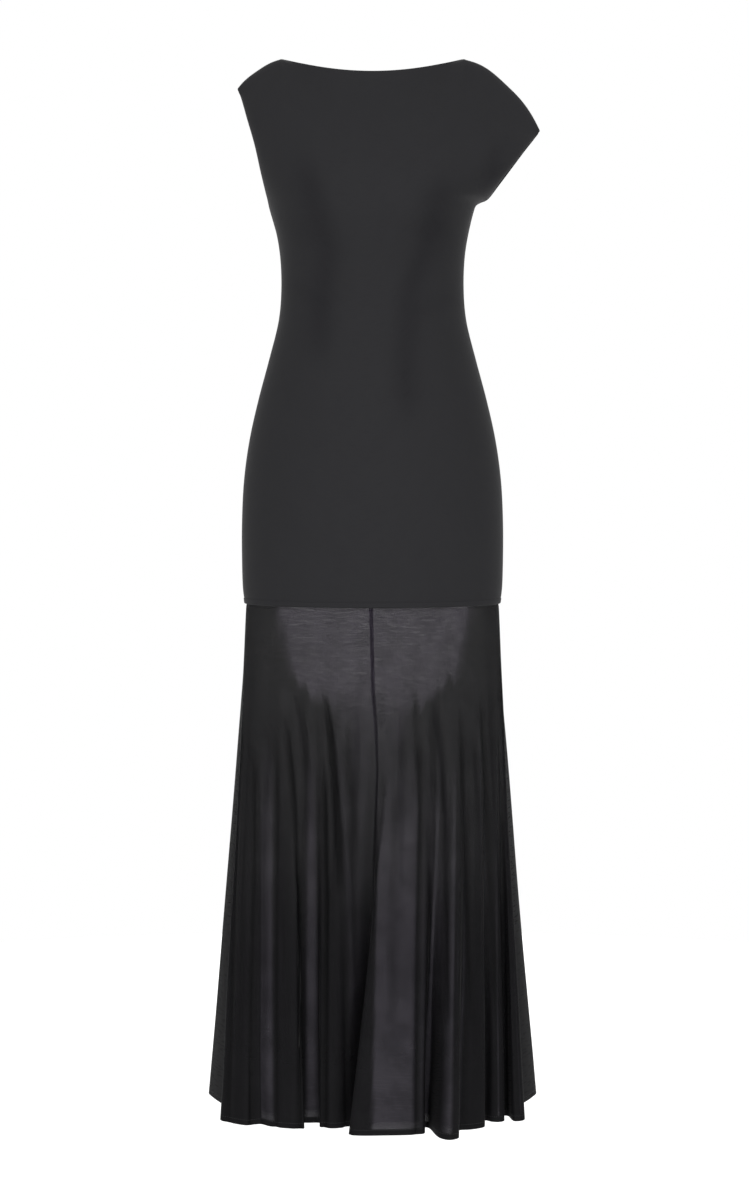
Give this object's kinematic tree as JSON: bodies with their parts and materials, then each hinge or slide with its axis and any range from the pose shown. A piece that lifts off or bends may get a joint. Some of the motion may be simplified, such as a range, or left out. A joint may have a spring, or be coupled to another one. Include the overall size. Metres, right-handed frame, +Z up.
{
  "type": "maxi dress",
  "caption": "Long fitted jersey dress in worn form, with a boat neck, asymmetric shoulders, a low hip seam and a sheer flared skirt hanging in folds.",
  "frame": {"origin": "middle of the shoulder line, level with the two points where the neckline meets the shoulder seams", "axes": "+Z up the body, +X towards the short sleeve (the right side as seen from the front), the front of the dress faces -Y"},
  "size_m": [0.4495, 0.4234, 1.41],
  "materials": {
    "jersey": "matte fine-knit jersey, opaque",
    "sheer_jersey": "thin slub jersey, slightly sheer, soft sheen"
  },
  "bodies": {
    "root": {"bodice_front": "jersey", "bodice_back": "jersey", "skirt_front_left": "sheer_jersey", "skirt_front_right": "sheer_jersey", "skirt_back": "sheer_jersey"}
  },
  "joints": []
}
